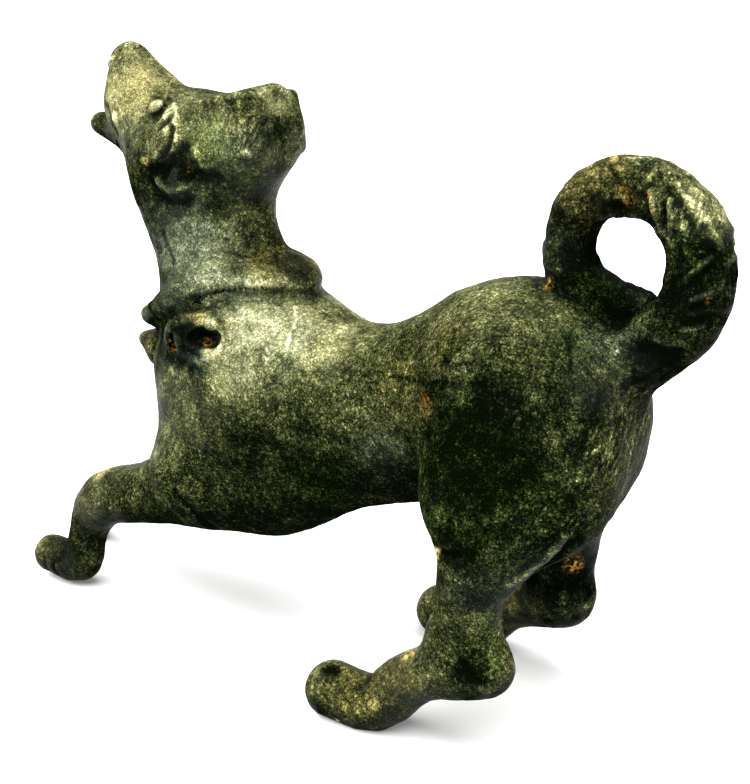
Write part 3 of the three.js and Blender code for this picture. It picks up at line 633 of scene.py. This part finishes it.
def line_relief(points):
    """How far the lines stand proud and how far they lie deep at the points."""
    ragged = points + RAGGED_DEPTH * np.stack(
        [noise(points, RAGGED_CELL, SEEDS["ragged"] + i) for i in range(3)], 1)
    mirrored = ragged * (1, -1, 1)
    marks = np.zeros((len(points), 2))
    for (height, width, _, both), line in zip(MARKS, TRACED):
        low, high = line.min(0) - LINE_REACH * width, line.max(0) + LINE_REACH * width
        for side in (ragged, mirrored) if both else (ragged,):
            index = np.flatnonzero(((side > low) & (side < high)).all(1))
            gap = ((side[index][:, None, :] - line[None]) ** 2).sum(-1).min(1)
            mark = abs(height) * np.exp(-gap / width ** 2)
            column = 0 if height > 0 else 1
            marks[index, column] = np.maximum(marks[index, column], mark)
    return marks


def relief(points):
    """How far the skin stands out from the bare form at the points."""
    x, z = points[:, 0], points[:, 2]
    calm = 1 - HEAD_CALM["share"] * smooth(*HEAD_CALM["z"], z) * smooth(*HEAD_CALM["x"], x)
    total = calm * sum(depth * noise(points, cell, SEEDS["waves"] + i)
                       for i, (cell, depth) in enumerate(WAVES))
    tail = smooth(*TAIL_EXTENT["z"], z) * smooth(*TAIL_EXTENT["x"], x)
    for i, (cell, depth) in enumerate(TAIL_WAVES):
        ridges = 1 - RIDGE_SHARPNESS * np.abs(noise(points, cell, SEEDS["tail"] + i))
        total += tail * depth * ridges
    boss = smooth(*BOSS_FADE, distance(on_side(points, 1), BOSS_MIDDLE))
    total += boss * BOSS_ROUGHNESS * noise(points, BOSS_CELL, SEEDS["boss"])
    total += sum(pits(points, *pit, SEEDS["pits"] + PIT_SEEDS * i) for i, pit in enumerate(PITS))
    marks = line_relief(points)
    return total + marks[:, 0] - marks[:, 1]


def skin():
    """The points and quads of the whole dog, in mm, with its relief."""
    values = sample(GRID_LOW, GRID_HIGH, GRID_STEP)
    points, number = net_points(values, GRID_LOW, GRID_STEP)
    for _ in range(NET_PULLS):
        points = shared_out(lambda part: step_to_surface(part, GRID_STEP / 2), points)
    slope = shared_out(slope_of, points)
    normals = slope / np.linalg.norm(slope, axis=1)[:, None]
    raised = shared_out(relief, points) * smooth(*SOLE_FADE, points[:, 2])
    points = points + normals * raised[:, None]
    points[:, 2] = np.maximum(points[:, 2], 0)
    return points, net_quads(values, number)


def add_object(name, data):
    new = bpy.data.objects.new(name, data)
    bpy.context.scene.collection.objects.link(new)
    return new


def full_mesh(points, faces):
    mesh = bpy.data.meshes.new("full")
    mesh.vertices.add(len(points))
    mesh.vertices.foreach_set("co", (points * MM).astype(np.float32).ravel())
    size = faces.shape[1]
    mesh.loops.add(faces.size)
    mesh.loops.foreach_set("vertex_index", faces.astype(np.int32).ravel())
    mesh.polygons.add(len(faces))
    mesh.polygons.foreach_set("loop_start", np.arange(0, faces.size, size, dtype=np.int32))
    mesh.update(calc_edges=True)
    mesh.validate()
    return mesh


def thinned(source, name, triangles):
    """The source with about this many triangles, under a new name."""
    fewer = source.modifiers.new("fewer", "DECIMATE")
    fewer.ratio = min(1, triangles / (2 * len(source.data.polygons)))
    graph = bpy.context.evaluated_depsgraph_get()
    mesh = bpy.data.meshes.new_from_object(source.evaluated_get(graph))
    mesh.name = name
    mesh.shade_smooth()
    old = source.data
    bpy.data.objects.remove(source)
    bpy.data.meshes.remove(old)
    return add_object(name, mesh)


body = thinned(add_object("full", full_mesh(*skin())), "bronze_dog", TRIANGLES)

# Where each kind of patina lies, and where shade and light are painted into the colour: centre in
# mm, radius and strength. A spot on the left side is repeated on the right.
ZONES = dict(
    # Pale patina, and painted highlights on the withers, shoulders and side of the head.
    pale_patina_and_light=(
        ((-2.2, -4.7, 38.5), 6, 0.9), ((1.5, -5, 36), 7, 1), ((-2, -8.5, 33), 6, 0.8),
        ((6, -4, 35.5), 6, 0.8), ((-11, -6, 43.5), 8, 0.65), ((-5, -3, 50), 6, 0.4),
        ((-8, -5.3, 55), 5.5, 0.6), ((-2.5, -1, 58), 3, 0.9), ((-21, -3, 59), 8, 0.9),
        ((-13, -9.2, 21.5), 2.6, 0.5), ((42.3, -0.6, 51.6), 4.5, 0.7), ((16, -11.5, 5), 6, 0.15),
        ((-14, -5, 57), 6, 0.6), ((24, -3, 42.5), 8, 0.4), ((30, -11, 17), 6, 0.2),
        ((14.5, -6.5, 28), 4, 0.2), ((-8, -9, 28), 6, 0.3), ((-7.5, -6.5, 41.2), 4.5, 0.75),
        ((-26, -5, 13), 7, 0.35), ((-33, -6, 4), 4, 0.25), ((-12.5, -9, 26), 7, 0.25),
        ((20, -11, 7), 7, 0.4), ((37, -6, 38), 5, 0.5), ((-5, -4, 52), 6, 0.6),
        ((37, -4, 30), 8, 0.05), ((31.5, -1, 53.5), 4.5, 0.3), ((29, -2, 47), 3, 0.2),
        ((-36, -6, 4), 4, 0.5), ((-4.5, -6.5, 39.5), 4, 0.9), ((-2, -6, 36), 7, 1)
    ),
    # Dark patina, and painted shade on the back end of the head.
    dark=(
        ((-12.3, -6.8, 51), 2.6, 1), ((-1.5, -1, 41.5), 4, 0.6), ((-12, -7, 38), 4, 0.5),
        ((-14, -7, 37), 5, 0.45), ((-5, -5, 41), 4, 0.15), ((-9.5, -8.5, 33.8), 4.6, 1),
        ((-12.5, -7.8, 33.5), 4, 0.6), ((-3.4, -0.5, 54), 4.5, 0.2), ((35, 0, 47.5), 7.5, 0.8),
        ((5, -6.5, 21), 7, 0.6), ((-2, -8.5, 20), 7, 0.2), ((-8, -8.5, 17), 6, 0.25),
        ((28, -10.5, 30), 10, 0.95), ((27, -13.5, 22.7), 4, 1), ((-13.5, -6, 47.3), 4.5, 0.6),
        ((-8.7, -5.5, 50), 4.5, 0.4), ((31, 0, 47), 6, 1), ((42.5, -2.8, 44), 6, 1),
        ((39.5, -3, 38.8), 4, 1), ((35.5, -1, 42.4), 2.8, 1), ((26.5, 7.5, 14), 9, 1),
        ((43, -1.5, 45), 7, 0.9), ((28.5, -12.3, 10.7), 2.6, 0.9), ((12, -11.5, 5.4), 1.5, 0.8),
        ((5, -7.5, 26), 6, 0.3), ((-13, -7.5, 26), 3, 0.5), ((35, -6, 36), 5, 0.7),
        ((-33, -6.3, 4), 6, 0.8), ((-27, -6, 10), 6, 0.3), ((34, 3, 27), 8, 0.4),
        ((20, -12, 6), 6, 0.3)
    ),
    brown=(
        ((-3, -2, 42.2), 3.5, 0.9), ((21.7, -9.6, 33.4), 2.4, 0.9), ((17, -7, 34.5), 5, 0.5),
        ((-8.3, -7.8, 36.4), 2.4, 0.8), ((-20.5, -3, 59), 6, 0.4), ((-22.1, -1, 31), 3, 0.9),
        ((22, -8, 39), 4, 0.5), ((-29, -6, 13), 6, 0.6), ((32, -2, 52.5), 6, 0.8),
        ((18, -11, 6), 9, 0.7), ((-35, -6, 4), 6, 0.6), ((-20, -3, 58), 7, 0.25),
        ((38.5, -1, 36), 2.5, 0.7)
    ),
    blue=(
        ((-11, -6, 43.3), 8, 0.9), ((-5, -6, 39.5), 5, 0.5), ((0, -6, 35), 8, 0.35),
        ((-10, -8.5, 33.5), 4, 0.8), ((36, -4.3, 40), 4, 0.8), ((-7, -9.2, 32.6), 2.4, 0.9),
        ((30, -11.5, 18.7), 4, 0.6), ((29.5, 7, 12), 4, 0.8), ((-14.5, -7, 27), 4, 0.5),
        ((14.5, -6.5, 27), 4, 0.5), ((32, -9, 22), 4, 0.5), ((-4.5, -4.5, 53), 4, 0.5)
    ),
    moss=(
        ((28, -10.5, 28), 9, 0.9), ((7, -6.5, 21), 6, 0.8), ((33.5, -1.8, 44.6), 3.5, 1),
        ((34, -6, 41), 3.5, 0.7), ((42, -2.6, 47.5), 4, 0.7), ((-7.5, -5.3, 53.5), 4, 0.35),
        ((-12, -6.5, 48.9), 1.6, 0.7), ((30, -12, 13), 4, 0.5)
    ),
    lined=(
        ((37, -3, 31), 9, 1), ((34, -8.5, 25), 5, 0.8), ((-4, -4, 54.5), 3.5, 0.7),
        ((41.5, -2, 50.5), 4, 0.8), ((21, -4, 43), 6, 0.4), ((-13.5, -9, 22), 3, 0.7)
    ),
    soil=(
        ((-11, -8.1, 33.5), 1.2, 1), ((-6.8, -7.9, 34.4), 1.0, 1), ((35.6, -2.2, 52.2), 0.6, 0.6),
        ((36.2, -2.3, 51.4), 0.6, 0.6), ((38.0, -2.4, 51.8), 0.6, 0.7),
        ((38.4, -2.4, 50.8), 0.6, 0.7), ((-10.4, -6.0, 51.2), 0.7, 1), ((28.2, 6.8, 14.1), 1.4, 1),
        ((43.3, -2, 44.2), 0.4, 0.8), ((21.7, -9.6, 33.2), 1.5, 0.35),
        ((28.7, -2, 43.8), 0.8, 0.9)
    ),
    gold=(
        ((-25.5, -6.3, 15.9), 1.9, 1), ((20.5, -10.8, 9.9), 1.5, 1), ((18, -12.8, 4.1), 0.9, 1),
        ((24.6, -12.2, 20.9), 0.8, 1), ((13.5, -12.5, 0.9), 0.7, 0.8), ((-16, -6.5, 52), 0.7, 0.8),
        ((34, -0.7, 54.4), 1.0, 0.8)
    ),
)

# The edge of a zone wanders with noise of these cell sizes and strengths. The larger the
# spread, the more of the zone is at full strength.
ZONE_NOISE = ((1.6, 0.3), (0.6, 0.2))
ZONE_SPREAD = 1.3
# The surface counts as open where nothing is near along its normal, at these distances in mm.
OPEN_DISTANCES = (0.8, 2, 4.5)
OPEN_POWER = 0.7
# Painted shade darkens undersides and painted light makes tops paler, by how far the normal points
# up.
UNDERSIDE_SHADE = dict(share=0.8, up=(0.2, -0.6))
TOP_LIGHT = dict(share=0.3, up=(0.5, 1))
# The fine relief is measured from the form smoothed this often.
SMOOTHINGS = 10
# What is hollow: the depth in mm that counts in full, and its share.
RELIEF_HOLLOW = dict(depth=0.07, share=0.6)
LINE_HOLLOW = dict(depth=0.3, share=0.7)
# What is worn: the heights in mm between which the relief sets in and its share, and the height
# at which a line counts in full.
RELIEF_WORN = dict(heights=(0.08, 0.22), share=0.8)
LINE_WORN = 0.2
# The longest step back from the relief to the bare form, in mm.
STEP_BACK = 0.8


def zone(points, spots, seed):
    edge = sum(strength * noise(points, cell, seed + i)
               for i, (cell, strength) in enumerate(ZONE_NOISE))
    total = np.zeros(len(points))
    left = on_side(points, -1)
    for at, radius, strength in spots:
        away = distance(left if at[1] < 0 else points, at) / radius
        inside = smooth(0, 1, ZONE_SPREAD - away * ZONE_SPREAD + edge)
        total = np.maximum(total, strength * inside)
    return total


def zones(points):
    return np.stack([zone(points, spots, SEEDS["zones"] + len(ZONE_NOISE) * i)
                     for i, spots in enumerate(ZONES.values())], 1)


def openness(points, normals):
    """How free the surface is: 1 in the open, towards 0 deep in a fold."""
    total = np.ones(len(points))
    for away in OPEN_DISTANCES:
        free = shared_out(field, points + normals * away) / away
        total = np.minimum(total, np.clip(free, 0, 1) ** OPEN_POWER)
    return total


def roundness(points, normals, edges):
    """How far the surface stands above its own smoothed form, in mm."""
    soft = points.copy()
    a, b = edges.T
    count = np.bincount(a, minlength=len(points)) + np.bincount(b, minlength=len(points))
    for _ in range(SMOOTHINGS):
        soft = np.stack([(np.bincount(a, soft[b, i], len(points))
                          + np.bincount(b, soft[a, i], len(points))) / count
                         for i in range(3)], 1)
    return ((points - soft) * normals).sum(1)


def read(items, name, size, kind=np.float32):
    """One row of numbers for each item of the mesh."""
    values = np.empty(len(items) * size, kind)
    items.foreach_get(name, values)
    return values.reshape(-1, size)


def add_masks(mesh):
    """Where each kind of patina, painted shade and painted light lies, as a number from 0 to 1 at
    each vertex.
    """
    at = read(mesh.vertices, "co", 3) / MM
    normals = read(mesh.vertex_normals, "vector", 3)
    edges = read(mesh.edges, "vertices", 2, np.int32)
    rest = shared_out(lambda part: step_to_surface(part, STEP_BACK), at)
    height = roundness(at, normals, edges)
    proud, deep = shared_out(line_relief, rest).T
    up = normals[:, 2]
    masks = dict(zip(ZONES, shared_out(zones, rest).T))
    # Painted shade on the undersides joins the dark mask, and painted light on the tops joins the
    # pale mask.
    masks["dark"] = np.maximum(masks["dark"], UNDERSIDE_SHADE["share"] * smooth(*UNDERSIDE_SHADE["up"], up))
    masks["pale_patina_and_light"] = np.maximum(masks["pale_patina_and_light"], TOP_LIGHT["share"] * smooth(*TOP_LIGHT["up"], up))
    marked = (np.clip(-height / RELIEF_HOLLOW["depth"], 0, 1) * RELIEF_HOLLOW["share"]
              + np.clip(deep / LINE_HOLLOW["depth"], 0, 1) * LINE_HOLLOW["share"])
    # The hollow mask is darker in the relief's hollows and deep lines, and it paints shade into
    # folds and between parts, by how closed in they are.
    masks["hollow"] = np.maximum(marked, 1 - openness(rest, normals))
    masks["worn"] = (RELIEF_WORN["share"] * smooth(*RELIEF_WORN["heights"], height)
                     + np.clip(proud / LINE_WORN, 0, 1))
    for name, values in masks.items():
        attribute = mesh.attributes.new(name, "FLOAT", "POINT")
        attribute.data.foreach_set("value", np.clip(values, 0, 1).astype(np.float32))
    print("dog:", len(mesh.vertices), "vertices,", len(mesh.polygons), "faces")


add_masks(body.data)

# The bronze, its patina, and the shade and light painted into its colour. Noises: scale in cells
# per metre, detail and roughness.
NOISES = dict(mottle=(2300.0, 4.0, 0.65), patch=(420.0, 4.0, 0.65), spark=(6500.0, 2.0, 0.7),
              crumbs=(2600.0, 3.0, 0.6), rubbed=(2600.0, 4.0, 0.6))
# The grain is made of cells, bent a little, with smooth edges between these distances.
GRAIN = 2500.0
GRAIN_EDGE = (0.02, 0.22)
WARP = dict(scale=1800.0, detail=2.0, distance=0.00022)
# Fine lines run along the sloping parts.
LINES = dict(scale=3200.0, detail=3.0, gain=1.3)
LINE_TURN = (-0.65, 0, 0)
LINE_STRETCH = (1, 1, 9)
# The tone where nothing moves it, how far each texture swings it, and by how much of that the
# pale zones are calmer.
MIDDLE_TONE = 0.45
SWING = dict(pebble=0.12, cell=0.18, mottle=0.95, patch=0.9, spark=1.3)
PALE_CALM = 0.38
# What a full mask adds to the tone, painted shade and painted light included.
MASK_TONE = dict(pale_patina_and_light=0.39, worn=0.3, dark=-0.42, hollow=-0.4)
# The patina from its darkest grains to its palest.
TONES = ((0.0, (0.0012, 0.002, 0.0007)), (0.2, (0.006, 0.0095, 0.0034)),
         (0.4, (0.029, 0.034, 0.0105)), (0.6, (0.10, 0.107, 0.038)), (0.8, (0.29, 0.285, 0.118)),
         (1.0, (0.75, 0.73, 0.42)))
# Tint, and how much of it a full mask gives.
TINTS = dict(brown=((1.25, 0.95, 0.6), 0.8), blue=((0.86, 1.0, 1.6), 0.9),
             moss=((0.62, 1.05, 0.45), 0.8))
# Soil and bare metal show where their noise lies between these values and above.
SOIL = (0.62, 0.33, 0.05)
SOIL_SHOWS = (0.46, 0.74)
GOLD = (0.78, 0.62, 0.2)
GOLD_SHOWS = (0.42, 0.66)
GOLD_METALLIC = 0.5
SPECULAR = dict(pale_patina_and_light=0.12, worn=0.06)
ROUGHNESS = 0.46
ROUGHNESS_SWING = 0.5
# The bump: what each texture adds to its height, its strength, and its depth in metres.
BUMP = dict(pebble=0.45, mottle=1.1, spark=0.5)
BUMP_STRENGTH = 0.8
BUMP_DEPTH = 0.00018


class Graph:
    """Short names for the nodes of one material."""

    def __init__(self, name):
        self.material = bpy.data.materials.new(name)
        self.material.use_nodes = True
        self.tree = self.material.node_tree
        self.shader = self.tree.nodes["Principled BSDF"]
        self.place = self.tree.nodes.new("ShaderNodeTexCoord").outputs["Object"]

    def node(self, kind, inputs, output=0, **settings):
        new = self.tree.nodes.new("ShaderNode" + kind)
        for name, value in settings.items():
            setattr(new, name, value)
        for key, value in inputs.items():
            self.put(new.inputs[key], value)
        return new.outputs[output]

    def put(self, socket, value):
        if isinstance(value, bpy.types.NodeSocket):
            self.tree.links.new(value, socket)
        else:
            socket.default_value = value

    def shade(self, name, value):
        self.put(self.shader.inputs[name], value)

    def math(self, operation, a, b):
        return self.node("Math", {0: a, 1: b}, operation=operation)

    def times(self, a, b):
        return self.math("MULTIPLY", a, b)

    def mask(self, name):
        return self.node("Attribute", {}, "Fac", attribute_name=name)

    def masks(self, gains):
        return [self.times(self.mask(name), gain) for name, gain in gains.items()]

    def noise(self, name):
        scale, detail, roughness = NOISES[name]
        return self.node("TexNoise", {"Vector": self.place, "Scale": scale, "Detail": detail,
                                      "Roughness": roughness}, "Fac")

    def between(self, value, low, high, **settings):
        """From 0 at low to 1 at high."""
        return self.node("MapRange", {"Value": value, "From Min": low, "From Max": high},
                         **settings)

    def around_middle(self, value, gain):
        """The value less one half, times the gain."""
        return self.times(self.math("SUBTRACT", value, 0.5), gain)

    def total(self, *values):
        held = values[0]
        for value in values[1:]:
            held = self.math("ADD", held, value)
        return held

    def ramp(self, value, stops):
        new = self.tree.nodes.new("ShaderNodeValToRGB")
        self.put(new.inputs[0], value)
        elements = new.color_ramp.elements
        while len(elements) < len(stops):
            elements.new(0.5)
        for element, (position, colour) in zip(elements, stops):
            element.position = position
            element.color = (*colour, 1)
        return new.outputs[0]

    def mix(self, share, a, b, kind="MIX"):
        new = self.tree.nodes.new("ShaderNodeMix")
        new.data_type = "RGBA"
        new.blend_type = kind
        new.clamp_factor = True
        self.put(new.inputs[0], share)
        for socket, value in ((new.inputs[6], a), (new.inputs[7], b)):
            self.put(socket, value if isinstance(value, bpy.types.NodeSocket) else (*value, 1))
        return new.outputs[2]


def textures(g):
    """The grain's pebbles and cells, and the noises that swing the tone."""
    warp = g.node("TexNoise", {"Vector": g.place, "Scale": WARP["scale"],
                               "Detail": WARP["detail"]}, "Color")
    pushed = g.node("VectorMath", {0: warp, "Scale": WARP["distance"]}, operation="SCALE")
    bent = g.node("VectorMath", {0: g.place, 1: pushed}, operation="ADD")
    edges = g.node("TexVoronoi", {"Vector": bent, "Scale": GRAIN}, "Distance",
                   feature="DISTANCE_TO_EDGE")
    cells = g.node("TexVoronoi", {"Vector": bent, "Scale": GRAIN}, "Color")
    return dict(pebble=g.between(edges, *GRAIN_EDGE, interpolation_type="SMOOTHSTEP"),
                cell=g.node("SeparateColor", {0: cells}),
                **{name: g.noise(name) for name in ("mottle", "patch", "spark")})


def fine_lines(g):
    along = g.node("Mapping", {"Vector": g.place, "Rotation": LINE_TURN, "Scale": LINE_STRETCH},
                   vector_type="TEXTURE")
    lines = g.node("TexNoise", {"Vector": along, "Scale": LINES["scale"],
                                "Detail": LINES["detail"]}, "Fac")
    return g.times(g.around_middle(lines, LINES["gain"]), g.mask("lined"))


def patina_and_painted_light():
    g = Graph("patina_and_painted_light")
    held = textures(g)
    swing = g.total(*(g.around_middle(held[name], gain) for name, gain in SWING.items()))
    calm = g.math("SUBTRACT", 1.0, g.times(g.mask("pale_patina_and_light"), PALE_CALM))
    tone = g.total(MIDDLE_TONE, fine_lines(g), g.times(swing, calm), *g.masks(MASK_TONE))
    colour = g.ramp(tone, TONES)
    for name, (tint, most) in TINTS.items():
        tinted = g.mix(1.0, colour, tint, "MULTIPLY")
        colour = g.mix(g.times(g.mask(name), most), colour, tinted)
    crumbs = g.between(g.noise("crumbs"), *SOIL_SHOWS)
    colour = g.mix(g.times(g.mask("soil"), crumbs), colour, SOIL)
    bare = g.times(g.mask("gold"), g.between(g.noise("rubbed"), *GOLD_SHOWS))
    colour = g.mix(bare, colour, GOLD)
    height = g.total(*(g.times(held[name], gain) for name, gain in BUMP.items()))
    g.shade("Base Color", colour)
    g.shade("Specular IOR Level", g.total(*g.masks(SPECULAR)))
    g.shade("Metallic", g.times(bare, GOLD_METALLIC))
    g.shade("Roughness", g.total(ROUGHNESS, g.around_middle(held["mottle"], ROUGHNESS_SWING)))
    g.shade("Normal", g.node("Bump", {"Strength": BUMP_STRENGTH, "Distance": BUMP_DEPTH,
                                      "Height": height}))
    return g.material


body.data.materials.append(patina_and_painted_light())
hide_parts("dog")
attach(body, "root")

# The camera: what it aims at, where it stands, its lens in mm, and the nearest that it sees.
AIM = Vector((8.6, 0, 30)) * MM
AZIMUTH, ELEVATION, DISTANCE = 37, 16, 125 * MM
FOCAL_LENGTH, SENSOR = 60, 36
NEAREST = 0.001
# The floor glows a little, so that shadows on it stay soft and pale.
FLOOR_HALF_SIZE = 8.0
FLOOR_COLOUR = (0.97, 0.97, 0.96, 1)
FLOOR_ROUGHNESS = 0.7
FLOOR_GLOW = 0.12
KEY_LIGHT = dict(azimuth=0, elevation=70, strength=8.3, softness=80)
# The world's brightness at two heights of a direction, from -1 to 1. Beyond them it is even.
WORLD = ((0.06, 1.05), (0.14, 0.3))


def looking_back(azimuth, elevation):
    """The direction from what is looked at to the one who looks, or to the light."""
    (c, s), (level, up) = cos_sin(azimuth), cos_sin(elevation)
    return Vector((s * level, -c * level, up))


def stand_off(thing, back, distance):
    """Puts the thing at this distance from the aim, looking at it."""
    thing.location = AIM + back * distance
    thing.rotation_euler = back.to_track_quat("Z", "Y").to_euler()


def add_camera():
    data = bpy.data.cameras.new("camera")
    data.lens = FOCAL_LENGTH
    data.sensor_width = SENSOR
    data.sensor_fit = "HORIZONTAL"
    data.clip_start = NEAREST
    camera = add_object("camera", data)
    stand_off(camera, looking_back(AZIMUTH, ELEVATION), DISTANCE)
    bpy.context.scene.camera = camera


def add_floor():
    size = FLOOR_HALF_SIZE
    mesh = bpy.data.meshes.new("floor")
    mesh.from_pydata([(-size, -size, 0), (size, -size, 0), (size, size, 0), (-size, size, 0)], [],
                     [(0, 1, 2, 3)])
    material = bpy.data.materials.new("floor")
    material.use_nodes = True
    shader = material.node_tree.nodes["Principled BSDF"]
    shader.inputs["Base Color"].default_value = FLOOR_COLOUR
    shader.inputs["Roughness"].default_value = FLOOR_ROUGHNESS
    shader.inputs["Emission Color"].default_value = (1, 1, 1, 1)
    shader.inputs["Emission Strength"].default_value = FLOOR_GLOW
    mesh.materials.append(material)
    floor = add_object("floor", mesh)


def add_sun(azimuth, elevation, strength, softness):
    data = bpy.data.lights.new("key", "SUN")
    data.energy = strength
    data.angle = math.radians(softness)
    stand_off(add_object("key", data), looking_back(azimuth, elevation), 1)


def add_world():
    """White at the horizon and below, and dimmer overhead."""
    world = bpy.data.worlds.new("studio")
    world.use_nodes = True
    tree = world.node_tree
    coords = tree.nodes.new("ShaderNodeTexCoord")
    split = tree.nodes.new("ShaderNodeSeparateXYZ")
    ramp = tree.nodes.new("ShaderNodeValToRGB")
    for element, (position, grey) in zip(ramp.color_ramp.elements, WORLD):
        element.position = position
        element.color = (grey, grey, grey, 1)
    tree.links.new(coords.outputs["Generated"], split.inputs[0])
    tree.links.new(split.outputs["Z"], ramp.inputs[0])
    tree.links.new(ramp.outputs[0], tree.nodes["Background"].inputs["Color"])
    bpy.context.scene.world = world


add_camera()
add_floor()
add_world()
add_sun(**KEY_LIGHT)
bpy.context.scene.view_settings.view_transform = "Standard"
